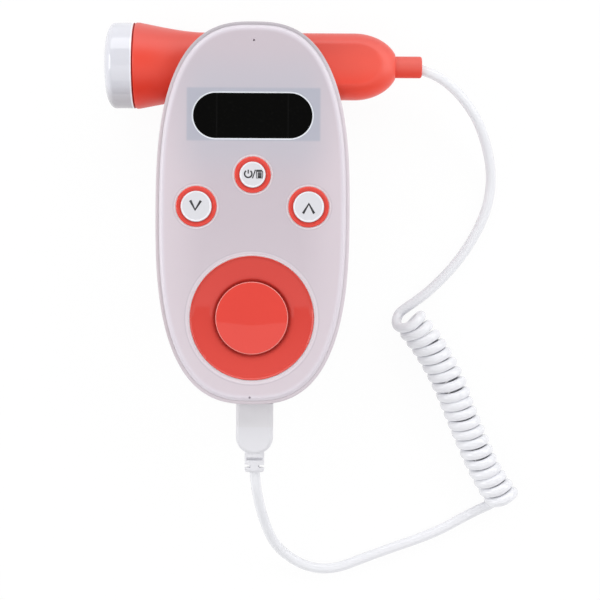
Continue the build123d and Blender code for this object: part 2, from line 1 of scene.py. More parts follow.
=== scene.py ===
import math
import bpy
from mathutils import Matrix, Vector


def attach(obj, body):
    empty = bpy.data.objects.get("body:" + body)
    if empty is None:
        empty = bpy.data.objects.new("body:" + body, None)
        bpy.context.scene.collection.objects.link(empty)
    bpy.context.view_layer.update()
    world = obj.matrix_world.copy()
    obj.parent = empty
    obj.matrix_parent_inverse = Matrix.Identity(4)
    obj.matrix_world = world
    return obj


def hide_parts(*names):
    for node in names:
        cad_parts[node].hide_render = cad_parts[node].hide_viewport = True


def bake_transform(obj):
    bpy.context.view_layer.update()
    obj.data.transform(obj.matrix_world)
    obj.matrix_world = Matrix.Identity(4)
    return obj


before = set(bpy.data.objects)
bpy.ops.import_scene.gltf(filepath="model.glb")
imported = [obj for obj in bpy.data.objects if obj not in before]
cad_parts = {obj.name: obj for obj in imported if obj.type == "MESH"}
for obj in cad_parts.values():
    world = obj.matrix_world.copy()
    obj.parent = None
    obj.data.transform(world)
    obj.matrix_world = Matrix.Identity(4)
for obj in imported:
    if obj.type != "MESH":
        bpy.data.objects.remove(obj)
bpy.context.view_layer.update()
bpy.ops.object.select_all(action="DESELECT")

# ---- Camera ----
# The monitor lies on its back and is seen from straight above. The view's middle is beside the
# lower right of the unit, and the camera is turned by a third of a degree.
camera_place = (0.0142, -0.0332, 0.680)
camera_turn = math.radians(0.35)
face_height = 0.036
view_width = 0.222          # at the height of the unit's face
nearest_seen = 0.05
bpy.ops.object.camera_add(location=camera_place, rotation=(0, 0, camera_turn))
camera = bpy.context.object
camera.data.angle = 2 * math.atan(view_width / 2 / (camera_place[2] - face_height))
camera.data.clip_start = nearest_seen
bpy.context.scene.camera = camera
bpy.context.scene.view_settings.view_transform = "Standard"

# ---- Curly cord ----
# A 3.8 mm white vinyl cord. It leaves the probe's strain relief, droops to the table and is wound
# into twenty close turns, set by heat on a mandrel, that lean a little and stand a hair apart.
cord_radius = 0.0019
probe_lead_route = [
    (0.0568, 0.0555, 0.0166), (0.0636, 0.0539, 0.0165), (0.0706, 0.0496, 0.0159),
    (0.0770, 0.0434, 0.0140), (0.0824, 0.0358, 0.0108), (0.0862, 0.0264, 0.0069),
    (0.0884, 0.0160, 0.0036), (0.0875, 0.0052, 0.0021), (0.0839, -0.0044, 0.0019),
    (0.0786, -0.0136, 0.0019), (0.0720, -0.0220, 0.0019), (0.0646, -0.0293, 0.0019),
    (0.0586, -0.0339, 0.0019),
]
coil_axis_route = [
    (0.0538, -0.0381, 0.0065), (0.0609, -0.0463, 0.0065), (0.0672, -0.0559, 0.0065),
    (0.0726, -0.0666, 0.0065), (0.0771, -0.0778, 0.0065), (0.0818, -0.0890, 0.0065),
    (0.0870, -0.1005, 0.0065), (0.0934, -0.1105, 0.0065),
]
coil_turns = 20
turn_pitch = 0.00402
first_turn_opening = 0.0028
opening_turns = 0.5
wind_radius = 0.0046
points_per_turn = 12
# Along the coil, by turn: how far the turns lean as a share of the wind radius, how far their
# right side runs back, as the same share, and how far it bulges.
coil_leans = [(0, -0.08), (1.2, 0.10), (3, 0.12), (8, 0.02), (16, 0.02), (20, 0.05)]
right_side_rises = [(0, 0.20), (2.4, 0.16), (3.2, 0.02), (4, 0.08), (17, 0.09), (19, 0.06),
                    (20, 0.14)]
right_side_bulges = [(0, 0.0006), (8, 0.0007), (10, 0.0001), (17, 0.0), (19.2, 0.0006),
                     (20, 0.0006)]
slow_drift = 0.00016
quick_drift = 0.00007
mean_top_lean = 0.19
top_lean_change = 0.04


def smooth_line(name, route, resolution):
    """A cord's middle line: one open NURBS spline with the route's points as control points."""
    curve = bpy.data.curves.new(name, "CURVE")
    curve.dimensions = "3D"
    spline = curve.splines.new("NURBS")
    spline.points.add(len(route) - 1)
    for point, place in zip(spline.points, route):
        point.co = (*place, 1)
    spline.order_u = 3
    spline.use_endpoint_u = True
    spline.resolution_u = resolution
    line = bpy.data.objects.new(name, curve)
    bpy.context.collection.objects.link(line)
    return line


def points_along(line):
    """The places that a bare line's curve passes through."""
    read = bpy.data.meshes.new_from_object(line)
    places = [vertex.co.copy() for vertex in read.vertices]
    bpy.data.meshes.remove(read)
    return places


def jacket(line, radius):
    """Turns a middle line into the mesh of a round jacket with closed ends."""
    line.data.bevel_depth = radius
    line.data.bevel_resolution = 6
    line.data.use_fill_caps = True
    bpy.ops.object.select_all(action="DESELECT")
    line.select_set(True)
    bpy.context.view_layer.objects.active = line
    bpy.ops.object.convert(target="MESH")
    bpy.ops.object.shade_smooth()
    return bpy.context.object


axis_line = smooth_line("coil_axis", coil_axis_route, 24)
axis_places = points_along(axis_line)
bpy.data.objects.remove(axis_line)


def axis_at(distance):
    """The place on the coil's axis at a distance along it, and the direction there."""
    left = distance
    for place, after in zip(axis_places, axis_places[1:]):
        step = (after - place).length
        if left <= step:
            break
        left -= step
    direction = (after - place).normalized()
    return place + direction * left, direction


def read_at(turn, table):
    """A value at a turn of the coil, from a table of turns and values."""
    for (turn_before, before), (turn_after, after) in zip(table, table[1:]):
        if turn <= turn_after:
            break
    return before + (after - before) * (turn - turn_before) / (turn_after - turn_before)


winding = []
for count in range(coil_turns * points_per_turn + 1):
    turn = count / points_per_turn
    opened = min(1.0, turn / opening_turns)
    drift = slow_drift * math.sin(0.9 * turn) + quick_drift * math.sin(2.3 * turn + 1)
    distance = turn * turn_pitch + drift
    distance += first_turn_opening * opened * opened * (3 - 2 * opened)
    angle = -math.pi / 2 - 2 * math.pi * turn
    middle, direction = axis_at(distance)
    across = Vector((-direction.y, direction.x, 0))
    to_right = max(0.0, math.cos(angle))
    side_lean = read_at(turn, coil_leans) * math.cos(angle)
    side_lean -= read_at(turn, right_side_rises) * to_right
    top_lean = mean_top_lean + top_lean_change * math.sin(1.7 * turn)
    place = middle + wind_radius * (math.cos(angle) * across + math.sin(angle) * Vector((0, 0, 1)))
    place += across * read_at(turn, right_side_bulges) * to_right
    place += direction * wind_radius * (side_lean + top_lean * math.sin(angle))
    winding.append(tuple(place))

curly_line = smooth_line("curly_cord", probe_lead_route + winding, 5)
curly_path = points_along(curly_line)
curly_cord = jacket(curly_line, cord_radius)

# ---- Plug lead ----
# The same cord goes on from the coil's last turn, lies along the table in a wide bend, and rises
# to the plug, where it is moulded into the boot.
coil_end = winding[-1]
plug_lead_route = [
    coil_end, (0.0900, -0.1118, 0.0019), (0.0858, -0.1136, 0.0019), (0.0790, -0.1170, 0.0019),
    (0.0694, -0.1224, 0.0019), (0.0595, -0.1264, 0.0019), (0.0492, -0.1299, 0.0019),
    (0.0386, -0.1339, 0.0019), (0.0286, -0.1378, 0.0019), (0.0192, -0.1376, 0.0020),
    (0.0108, -0.1334, 0.0038), (0.0046, -0.1270, 0.0082), (0.0012, -0.1186, 0.0140),
    (-0.0010, -0.1098, 0.0194), (-0.0022, -0.1026, 0.0228), (-0.0026, -0.0956, 0.0240),
]
plug_line = smooth_line("plug_lead", plug_lead_route, 12)
plug_path = points_along(plug_line)
plug_lead = jacket(plug_line, cord_radius)


def surface_of(name):
    """A new material with its node tree and shader, and the place on the piece to read."""
    material = bpy.data.materials.new(name)
    material.use_nodes = True
    tree = material.node_tree
    place = tree.nodes.new("ShaderNodeTexCoord").outputs["Object"]
    return material, tree, tree.nodes["Principled BSDF"], place


def axes_of(tree, place):
    """A place's three coordinates, in order or by their letters."""
    parts = tree.nodes.new("ShaderNodeSeparateXYZ")
    tree.links.new(place, parts.inputs["Vector"])
    return parts.outputs


def noise_on(tree, place, scale=60, detail=3):
    """A cloudy pattern through the piece, as a value about 0.5."""
    noise = tree.nodes.new("ShaderNodeTexNoise")
    noise.inputs["Scale"].default_value = scale
    noise.inputs["Detail"].default_value = detail
    tree.links.new(place, noise.inputs["Vector"])
    return noise.outputs["Fac"]


def spread(tree, value, low, high, span=(0.0, 1.0)):
    """Carries a value over a span to a low and a high end, with soft ends."""
    change = tree.nodes.new("ShaderNodeMapRange")
    change.interpolation_type = "SMOOTHSTEP"
    change.inputs["From Min"].default_value = span[0]
    change.inputs["From Max"].default_value = span[1]
    change.inputs["To Min"].default_value = low
    change.inputs["To Max"].default_value = high
    tree.links.new(value, change.inputs["Value"])
    return change.outputs["Result"]


def figure(tree, operation, *values):
    """One step of arithmetic on a pattern's values, each one a number or another node's output."""
    step = tree.nodes.new("ShaderNodeMath")
    step.operation = operation
    for socket, value in zip(step.inputs, values):
        if isinstance(value, (int, float)):
            socket.default_value = value
        else:
            tree.links.new(value, socket)
    return step.outputs["Value"]


def blend_colours(tree, share, first, second):
    """A colour between two, each one a colour or another node's output."""
    mix = tree.nodes.new("ShaderNodeMix")
    mix.data_type = "RGBA"
    tree.links.new(share, mix.inputs["Factor"])
    for socket, colour in ((mix.inputs[6], first), (mix.inputs[7], second)):
        if isinstance(colour, tuple):
            socket.default_value = (*colour, 1)
        else:
            tree.links.new(colour, socket)
    return mix.outputs[2]


def grain_on(tree, shader, place, scale, strength, depth=0.00008):
    """A fine moulded grain, as bump."""
    bump = tree.nodes.new("ShaderNodeBump")
    bump.inputs["Strength"].default_value = strength
    bump.inputs["Distance"].default_value = depth
    tree.links.new(noise_on(tree, place, scale, 2), bump.inputs["Height"])
    tree.links.new(bump.outputs["Normal"], shader.inputs["Normal"])


def moulded(name, colour, roughness, grain=0.1, mottle=0.02, coat=0.0):
    """Moulded plastic: a colour that drifts a little, an uneven gloss and a fine grain."""
    material, tree, shader, place = surface_of(name)
    cloud = noise_on(tree, place)
    dull = tuple(part * (1 - mottle) for part in colour)
    fresh = tuple(min(1.0, part * (1 + mottle)) for part in colour)
    tree.links.new(blend_colours(tree, spread(tree, cloud, 0, 1), dull, fresh),
                   shader.inputs["Base Color"])
    uneven = spread(tree, cloud, 0.88 * roughness, 1.12 * roughness)
    tree.links.new(uneven, shader.inputs["Roughness"])
    shader.inputs["Coat Weight"].default_value = coat
    shader.inputs["Coat Roughness"].default_value = 0.05
    grain_on(tree, shader, place, 1400, grain)
    return material


def finish_with(piece, *materials):
    """Gives a piece its material, or its materials in the order of its slots."""
    piece.data.materials.clear()
    for material in materials:
        piece.data.materials.append(material)


vinyl = moulded("cord_vinyl", (0.875, 0.880, 0.915), 0.13, grain=0.01, mottle=0.006)
for lead in (curly_cord, plug_lead):
    finish_with(lead, vinyl)
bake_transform(curly_cord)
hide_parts("upper_lead", "cord_coil")
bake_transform(plug_lead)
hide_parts("lower_lead")

# ---- Casing ----
# The back of the unit is a round-backed tub in pale ABS, with the cradle slot across its top end.
# The front shell carries the thin side band that shows all round the face. Four screws from the
# back hold them together, and the unit stands on four rubber feet.
band_white, tree, shader, place = surface_of("shell_white")
axes = axes_of(tree, place)
# Painted light and shade: the band's colour is lighter towards the right and the bottom and darker
# at the top, as the light falls on its rounded rim.
toward_right = spread(tree, axes["X"], 0, 1, span=(-0.030, 0.026))
toward_bottom = spread(tree, axes["Y"], 1, 0, span=(-0.068, -0.045))
toward_top = spread(tree, axes["Y"], 0, 1, span=(0.046, 0.066))
lit_side_share = figure(tree, "MAXIMUM", toward_right, toward_bottom)
band_tint = blend_colours(tree, lit_side_share, (0.625, 0.548, 0.585), (0.710, 0.636, 0.686))
band_tint = blend_colours(tree, toward_top, band_tint, (0.500, 0.462, 0.500))
tree.links.new(band_tint, shader.inputs["Base Color"])
tree.links.new(spread(tree, noise_on(tree, place), 0.27, 0.33), shader.inputs["Roughness"])
grain_on(tree, shader, place, 1400, 0.04)


def dress(material, *names):
    """Gives a material to the part's own solids."""
    for name in names:
        finish_with(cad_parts[name], material)


soft_grey = moulded("rubber_grey", (0.12, 0.12, 0.125), 0.75, grain=0.3)
dress(band_white, "front_shell")
dress(moulded("casing_white", (0.66, 0.61, 0.65), 0.42, grain=0.25), "rear_casing")
dress(moulded("door_white", (0.655, 0.605, 0.645), 0.42, grain=0.25), "battery_door")
dress(soft_grey, "rubber_feet", "cradle_pads")

# ---- Cover ----
# The face of the unit: a 2.6 mm plate of milky acrylic, pressed into the shell's rim. It is
# moulded with a soft round edge, shallow dished rings round the buttons and the speaker, and a
# rounded lip at each opening. The foam frame of the display shows through it as a faint oblong.
unit_x = -0.0036
egg_y = -0.0006
cover_half_width = 0.03478
cover_upper_reach = 0.06938
cover_lower_reach = 0.07018
cover_squareness = 2.7      # 2 would be an ellipse
cover_low = 0.03385
cover_high = 0.0365
edge_rounding = 0.0016
window_place = (-0.00370, 0.0349)
window_width = 0.0442
window_height = 0.0168
display_middle = (-0.0034, 0.0354)
window_lip_width = 0.00045
window_lip_depth = 0.00012
speaker_place = (unit_x, -0.0400)
speaker_radius = 0.0230
button_places = {           # x, y, collar radius, cap radius
    "power": (unit_x, 0.0130, 0.00675, 0.0048),
    "down": (unit_x - 0.0208, 0.0012, 0.00755, 0.0057),
    "up": (unit_x + 0.0208, 0.0012, 0.00755, 0.0057),
}
button_ring = (0.0006, 0.00030)     # how far a dished ring spreads, and how deep it is
speaker_ring = (0.0014, 0.00045)
pinholes = ((-0.0034, 0.0628), (-0.0042, -0.0694))
pinhole_radius = 0.00040
pinhole_depth = 0.0012


def pick(piece, wanted):
    """Opens a piece in edit mode with the edges selected whose two ends are wanted."""
    if bpy.context.mode != "OBJECT":
        bpy.ops.object.mode_set(mode="OBJECT")
    bpy.ops.object.select_all(action="DESELECT")
    piece.select_set(True)
    bpy.context.view_layer.objects.active = piece
    bpy.ops.object.mode_set(mode="EDIT")
    bpy.ops.mesh.select_mode(type="EDGE")
    bpy.ops.mesh.select_all(action="DESELECT")
    bpy.ops.object.mode_set(mode="OBJECT")
    corners = piece.data.vertices
    for edge in piece.data.edges:
        edge.select = all(wanted(corners[index].co) for index in edge.vertices)
    bpy.ops.object.mode_set(mode="EDIT")


def settle(piece, even_shading=True):
    """Ends work on a piece: normals out, place and size into the mesh, smooth where it curves."""
    bpy.ops.object.mode_set(mode="EDIT")
    bpy.ops.mesh.select_all(action="SELECT")
    bpy.ops.mesh.remove_doubles(threshold=0.000002)
    bpy.ops.mesh.normals_make_consistent(inside=False)
    bpy.ops.object.mode_set(mode="OBJECT")
    bpy.ops.object.select_all(action="DESELECT")
    piece.select_set(True)
    bpy.context.view_layer.objects.active = piece
    bpy.ops.object.transform_apply(location=True, rotation=True, scale=True)
    bpy.ops.object.shade_smooth_by_angle(angle=math.radians(32))
    if even_shading:
        even = piece.modifiers.new("even_shading", "WEIGHTED_NORMAL")
        even.keep_sharp = True
        bpy.ops.object.modifier_apply(modifier=even.name)
    return piece


def paint_faces(piece, wanted):
    """Gives the faces whose middle and normal are wanted the piece's second material."""
    for face in piece.data.polygons:
        if wanted(face.center, face.normal):
            face.material_index = 1


def stadium(place, width, height, low, high):
    """An upright block with round ends."""
    bpy.ops.mesh.primitive_cube_add(size=1, location=(*place, (low + high) / 2),
                                    scale=(width, height, high - low))
    block = bpy.context.object
    bpy.ops.object.transform_apply(location=True, rotation=True, scale=True)
    bpy.ops.object.mode_set(mode="EDIT")
    bpy.ops.mesh.select_all(action="DESELECT")
    bpy.ops.object.mode_set(mode="OBJECT")
    for edge in block.data.edges:
        first, second = (block.data.vertices[index].co for index in edge.vertices)
        edge.select = abs(first.z - second.z) > (high - low) / 2
    bpy.ops.object.mode_set(mode="EDIT")
    bpy.ops.mesh.select_mode(type="EDGE")
    bpy.ops.mesh.bevel(offset=height / 2 - 0.00001, segments=28)
    bpy.ops.object.mode_set(mode="OBJECT")
    return block


def cut(piece, cutter):
    """Takes a cutter's shape out of a piece, and throws the cutter away."""
    bpy.ops.object.select_all(action="DESELECT")
    cutter.select_set(True)
    bpy.context.view_layer.objects.active = cutter
    bpy.ops.object.transform_apply(location=True, rotation=True, scale=True)
    bpy.context.view_layer.objects.active = piece
    hole = piece.modifiers.new("hole", "BOOLEAN")
    hole.operation = "DIFFERENCE"
    hole.solver = "EXACT"
    hole.object = cutter
    bpy.ops.object.modifier_apply(modifier=hole.name)
    bpy.data.objects.remove(cutter)


def within(corner, place, low, high):
    """Whether a corner lies between two distances from an upright line."""
    return low <= math.hypot(corner.x - place[0], corner.y - place[1]) <= high


bpy.ops.mesh.primitive_circle_add(vertices=240, radius=1, fill_type="NGON", location=(0, 0, 0))
cover = bpy.context.object
cover.name = "cover"
for corner in cover.data.vertices:
    reach = cover_upper_reach if corner.co.y > 0 else cover_lower_reach
    squarer = [math.copysign(abs(part) ** (2 / cover_squareness), part) for part in corner.co.xy]
    corner.co = (unit_x + cover_half_width * squarer[0], egg_y + reach * squarer[1], cover_low)
bpy.ops.object.mode_set(mode="EDIT")
bpy.ops.mesh.select_all(action="SELECT")
bpy.ops.mesh.extrude_region_move(TRANSFORM_OT_translate={"value": (0, 0, cover_high - cover_low)})
bpy.ops.mesh.select_all(action="SELECT")
bpy.ops.mesh.normals_make_consistent(inside=False)
pick(cover, lambda corner: corner.z > cover_high - 0.0001)
bpy.ops.mesh.bevel(offset=edge_rounding, segments=8, profile=0.45)
bpy.ops.object.mode_set(mode="OBJECT")

past_plate = 0.001
cut(cover, stadium(window_place, window_width + 2 * window_lip_width,
                   window_height + 2 * window_lip_width,
                   cover_high - window_lip_depth, cover_high + past_plate))
cut(cover, stadium(window_place, window_width, window_height,
                   cover_low - past_plate, cover_high + past_plate))
dished = [(x, y, collar, *button_ring) for x, y, collar, cap in button_places.values()]
dished.append((*speaker_place, speaker_radius, *speaker_ring))
for x, y, radius, spread_out, depth in dished:
    bpy.ops.mesh.primitive_cone_add(
        vertices=128, radius1=radius + 0.0001, radius2=radius + 0.0001 + 2 * spread_out,
        depth=2 * depth, location=(x, y, cover_high))
    cut(cover, bpy.context.object)
    bpy.ops.mesh.primitive_cylinder_add(vertices=128, radius=radius + 0.00008, depth=0.010,
                                        location=(x, y, cover_high))
    cut(cover, bpy.context.object)
for place in pinholes:
    bpy.ops.mesh.primitive_cylinder_add(vertices=24, radius=pinhole_radius,
                                        depth=2 * pinhole_depth, location=(*place, cover_high))
    cut(cover, bpy.context.object)
for x, y, radius, spread_out, depth in dished:
    pick(cover, lambda corner: corner.z > cover_high - 0.00001
         and within(corner, (x, y), radius + 0.0004, radius + 0.0035))
    bpy.ops.mesh.bevel(offset=0.00022, segments=3)
    bpy.ops.object.mode_set(mode="OBJECT")
    pick(cover, lambda corner: corner.z > cover_low + 0.001
         and within(corner, (x, y), radius - 0.0001, radius + 0.0003))
    bpy.ops.mesh.bevel(offset=0.00018, segments=3)
    bpy.ops.object.mode_set(mode="OBJECT")
settle(cover)
for place in pinholes:
    paint_faces(cover, lambda middle, normal: middle.z < cover_high - 0.0001
                and within(middle, place, 0, pinhole_radius + 0.0001))

milky, tree, shader, place = surface_of("cover_milky")
x_there, y_there, z_there = axes_of(tree, place)


def work(operation, *values):
    """One step of arithmetic for the material in hand."""
    return figure(tree, operation, *values)


def band_between(value, middle, half, soft):
    """1 within half of a middle, fading to 0 over a soft edge."""
    off = work("ABSOLUTE", work("SUBTRACT", value, middle))
    return spread(tree, off, 1, 0, span=(half - soft, half + soft))


def oblong_about_display(half_width, half_height, soft, strength):
    """A soft oblong about the display, as strong as it says."""
    across = band_between(x_there, display_middle[0], half_width, soft)
    up = band_between(y_there, display_middle[1], half_height, soft)
    return work("MULTIPLY", work("MULTIPLY", across, up), strength)


def apart_from(x, y, straight=0.0):
    """The distance from an upright line, or from a straight run along X through it."""
    sideways = work("ABSOLUTE", work("SUBTRACT", x_there, x))
    sideways = work("MAXIMUM", work("SUBTRACT", sideways, straight), 0.0)
    upward = work("SUBTRACT", y_there, y)
    return work("SQRT", work("ADD", work("POWER", sideways, 2.0), work("MULTIPLY", upward, upward)))


across = work("DIVIDE", work("ABSOLUTE", work("SUBTRACT", x_there, unit_x)), cover_half_width)
y_from_middle = work("SUBTRACT", y_there, egg_y)
along = work("MAXIMUM", work("DIVIDE", y_from_middle, cover_upper_reach),
             work("DIVIDE", y_from_middle, -cover_lower_reach))
share_of_egg = work("ADD", work("POWER", across, cover_squareness),
                    work("POWER", along, cover_squareness))
share_of_egg = work("POWER", share_of_egg, 1 / cover_squareness)
rim_at_sides, rim_less_at_ends = 0.0780, 0.0400      # as shares of the way out from the middle
rim_share = work("SUBTRACT", rim_at_sides,
                 work("MULTIPLY", work("POWER", along, 2.0), rim_less_at_ends))
from_rim = work("DIVIDE", work("SUBTRACT", 1.0, share_of_egg), rim_share)
# Painted light: the cover's colour is lighter towards its edge and towards the bottom, where more
# light falls and scatters through the milky plate.
toward_edge = work("MULTIPLY", spread(tree, share_of_egg, 0, 1, span=(0.35, 1.0)),
                   spread(tree, y_there, 1, 0.1, span=(0.010, 0.060)))
toward_bottom = spread(tree, y_there, 0.8, 0, span=(-0.066, 0.010))
body_tint = blend_colours(tree, work("MAXIMUM", toward_edge, toward_bottom),
                          (0.618, 0.550, 0.602), (0.712, 0.634, 0.686))
module_shade = oblong_about_display(0.0250, 0.0190, 0.0090, 0.75)
body_tint = blend_colours(tree, module_shade, body_tint, (0.560, 0.545, 0.610))
frame_shade = oblong_about_display(0.0247, 0.0098, 0.0005, 0.80)
body_tint = blend_colours(tree, frame_shade, body_tint, (0.458, 0.473, 0.552))
# Painted highlight: a bright line round each opening, where the lip's edge catches the light.
lip_highlight_share = band_between(apart_from(*window_place, straight=(window_width - window_height) / 2),
                         window_height / 2 + 0.00022, 0.00026, 0.00008)
# Painted light and shade round the dished rings: a lighter halo on each ring, and a darker painted
# shade ring just outside it.
halo_share = shade_share = 0.0
for x, y, radius, spread_out, depth in dished:
    apart = apart_from(x, y)
    lip = band_between(apart, radius + 0.00028, 0.00028, 0.00008)
    lip_highlight_share = work("MAXIMUM", lip_highlight_share, lip)
    halo = band_between(apart, radius + 0.0002 + 0.5 * spread_out, 0.5 * spread_out, 0.0002)
    halo_share = work("MAXIMUM", halo_share, halo)
    shade = band_between(apart, radius + 0.0004 + spread_out, 0.0002, 0.00025)
    shade_share = work("MAXIMUM", shade_share, shade)
body_tint = blend_colours(tree, work("MULTIPLY", halo_share, 0.7),
                          body_tint, (0.780, 0.720, 0.775))
body_tint = blend_colours(tree, work("MULTIPLY", shade_share, 0.6),
                          body_tint, (0.560, 0.500, 0.550))
lit_rim = spread(tree, from_rim, 1, 0, span=(0.45, 1.0))
body_tint = blend_colours(tree, lit_rim, body_tint, (0.760, 0.705, 0.770))
lit_foot = spread(tree, z_there, 1, 0, span=(0.0347, 0.0361))
body_tint = blend_colours(tree, lit_foot, body_tint, (0.950, 0.905, 0.945))
body_tint = blend_colours(tree, lip_highlight_share, body_tint, (0.880, 0.910, 0.970))
tree.links.new(body_tint, shader.inputs["Base Color"])
shader.inputs["Roughness"].default_value = 0.27
shader.inputs["Subsurface Weight"].default_value = 0.25
shader.inputs["Subsurface Scale"].default_value = 0.0015
shader.inputs["Subsurface Radius"].default_value = (1.0, 0.9, 0.95)
finish_with(cover, milky, moulded("pinhole_shade", (0.25, 0.13, 0.15), 0.5))
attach(cover, "main_unit")
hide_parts("front_panel")

# ---- Display ----
# A gloss-black tinted pane fills the window. The glass of the small display behind it shows as
# two faint upright lines. The module, its foam frame and the boards sit under the cover.
pane_gap = 0.00006
pane_low = 0.0350
pane = stadium(window_place, window_width - pane_gap, window_height - pane_gap,
               pane_low, cover_high - pane_gap)
pane.name = "window_pane"
pick(pane, lambda corner: corner.z > cover_high - 0.0002)
bpy.ops.mesh.bevel(offset=0.00012, segments=3)
bpy.ops.object.mode_set(mode="OBJECT")
settle(pane)
pane_black, tree, shader, place = surface_of("window_black")
x_there = axes_of(tree, place)["X"]
glass_edges = [band_between(x_there, edge, 0.00012, 0.0001) for edge in (-0.0170, 0.0094)]
specks = spread(tree, noise_on(tree, place, 1500, 1), 0, 0.25, span=(0.62, 0.72))
dusty = blend_colours(tree, specks, (0.0020, 0.0020, 0.0018), (0.012, 0.012, 0.011))
tree.links.new(blend_colours(tree, work("MAXIMUM", *glass_edges), dusty, (0.0085, 0.0085, 0.0085)),
               shader.inputs["Base Color"])
shader.inputs["Roughness"].default_value = 0.05
finish_with(pane, pane_black)
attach(pane, "main_unit")
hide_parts("display_window")
dress(pane_black, "display_window")
dress(moulded("foam_grey", (0.42, 0.45, 0.55), 0.9, grain=0.5), "display_gasket")
dress(moulded("lcd_dark", (0.03, 0.035, 0.035), 0.2), "lcd_module")

# ---- Buttons ----
# Each button is a coral collar pressed into the cover and a white cap that travels through it.
# The collar steps down towards the cap, and the cap has a raised round rim. Printed in dark grey:
# a page-down and a page-up chevron, and a power sign and a page parted by a stroke.
collar_low = 0.03415
collar_high = 0.03695
cap_low = 0.0340
cap_high = 0.03745
cap_hollow = 0.00012
print_high = cap_high - 0.00010
print_flatness = 0.08


def eased(profile, steps=6):
    """A profile of (radius, height, rounding) corners, with each rounding drawn as an arc."""
    points = []
    for index, (radius, height, rounding) in enumerate(profile):
        corner = Vector((radius, height))
        if rounding == 0:
            points.append(corner)
            continue
        back = Vector(profile[index - 1][:2]) - corner
        on = Vector(profile[(index + 1) % len(profile)][:2]) - corner
        half = back.angle(on) / 2
        start = corner + back.normalized() * rounding / math.tan(half)
        end = corner + on.normalized() * rounding / math.tan(half)
        inward = (back.normalized() + on.normalized()).normalized()
        middle = corner + inward * rounding / math.sin(half)
        for step in range(steps + 1):
            direction = (start - middle).lerp(end - middle, step / steps)
            points.append(middle + direction.normalized() * rounding)
    held = []
    for before, after in zip(points, points[1:] + points[:1]):
        held.append(before)
        run = after - before
        if run.length > 0.0012:
            held += [before + run.normalized() * 0.00015, after - run.normalized() * 0.00015]
    return held


def turned(name, profile, centre, axis="Z", steps=96):
    """A turned piece: the profile is drawn by extrusion from one point and spun about its axis."""
    def place_of(point):
        radius, height = point
        shift = (radius, 0, height) if axis == "Z" else (height, radius, 0)
        return Vector(centre) + Vector(shift)
    points = eased(profile)
    points.append(points[0])
    bpy.ops.object.select_all(action="DESELECT")
    bpy.ops.mesh.primitive_plane_add(size=0.001, location=place_of(points[0]))
    piece = bpy.context.object
    piece.name = name
    bpy.ops.object.transform_apply(location=True, rotation=True, scale=True)
    bpy.ops.object.mode_set(mode="EDIT")
    bpy.ops.mesh.select_mode(type="VERT")
    bpy.ops.mesh.select_all(action="SELECT")
    bpy.ops.mesh.merge(type="CENTER")
    for before, after in zip(points, points[1:]):
        move = place_of(after) - place_of(before)
        bpy.ops.mesh.extrude_region_move(TRANSFORM_OT_translate={"value": move})
    bpy.ops.mesh.select_all(action="SELECT")
    spin_axis = (0, 0, 1) if axis == "Z" else (1, 0, 0)
    bpy.ops.mesh.spin(steps=steps, angle=2 * math.pi, center=centre, axis=spin_axis)
    bpy.ops.object.mode_set(mode="OBJECT")
    return settle(piece, even_shading=False)


def printed_stroke(name, corners, width, middle):
    """A printed stroke through (x, y) corners about a cap's middle: a flattened round line."""
    curve = bpy.data.curves.new(name, "CURVE")
    curve.dimensions = "3D"
    spline = curve.splines.new("POLY")
    spline.points.add(len(corners) - 1)
    for point, (x, y) in zip(spline.points, corners):
        point.co = (middle[0] + x, middle[1] + y, 0, 1)
    curve.bevel_depth = width / 2
    curve.bevel_resolution = 2
    curve.use_fill_caps = True
    stroke = bpy.data.objects.new(name, curve)
    bpy.context.collection.objects.link(stroke)
    bpy.ops.object.select_all(action="DESELECT")
    stroke.select_set(True)
    bpy.context.view_layer.objects.active = stroke
    bpy.ops.object.convert(target="MESH")
    stroke = bpy.context.object
    stroke.scale.z = print_flatness
    stroke.location.z = print_high
    bpy.ops.object.transform_apply(location=True, rotation=True, scale=True)
    return stroke


coral_gloss = moulded("coral_gloss", (0.798, 0.076, 0.058), 0.025, grain=0.004)
# Painted highlight: a pale coral for the rounded top edge of the speaker disc.
coral_edge_highlight = moulded("coral_edge_highlight", (0.930, 0.330, 0.300), 0.06, grain=0.004)
cap_white = moulded("cap_white", (0.735, 0.735, 0.775), 0.20, grain=0.03)
# Painted highlight: the cap's raised rim is given a brighter white than its face.
cap_rim_highlight = moulded("cap_rim_highlight", (0.880, 0.885, 0.925), 0.12, grain=0.02)
print_grey = moulded("print_grey", (0.040, 0.040, 0.045), 0.6)
for button, (x, y, collar, cap) in button_places.items():
    ring = turned(f"{button}_collar", [
        (cap + 0.00010, collar_low, 0), (collar, collar_low, 0),
        (collar, collar_high - 0.00025, 0.0002), (collar - 0.00050, collar_high, 0.0008),
        (cap + 0.00080, collar_high - 0.00012, 0.0004),
        (cap + 0.00060, collar_high - 0.00038, 0.0002),
        (cap + 0.00010, collar_high - 0.00042, 0)], (x, y, 0))
    finish_with(ring, coral_gloss)
    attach(ring, "main_unit")
    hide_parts(f"{button}_button_collar")
    face = turned(f"{button}_cap", [
        (0, cap_low, 0), (cap, cap_low, 0), (cap, cap_high, 0.00035),
        (cap - 0.00052, cap_high, 0.00015), (cap - 0.00066, cap_high - cap_hollow, 0.00015),
        (0, cap_high - cap_hollow, 0)], (x, y, 0))
    finish_with(face, cap_white, cap_rim_highlight)
    paint_faces(face, lambda middle, normal: middle.z > cap_high - 0.0004
                and within(middle, (x, y), cap - 0.00068, cap + 0.0001))
    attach(face, f"{button}_button")
    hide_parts(f"{button}_button_cap")

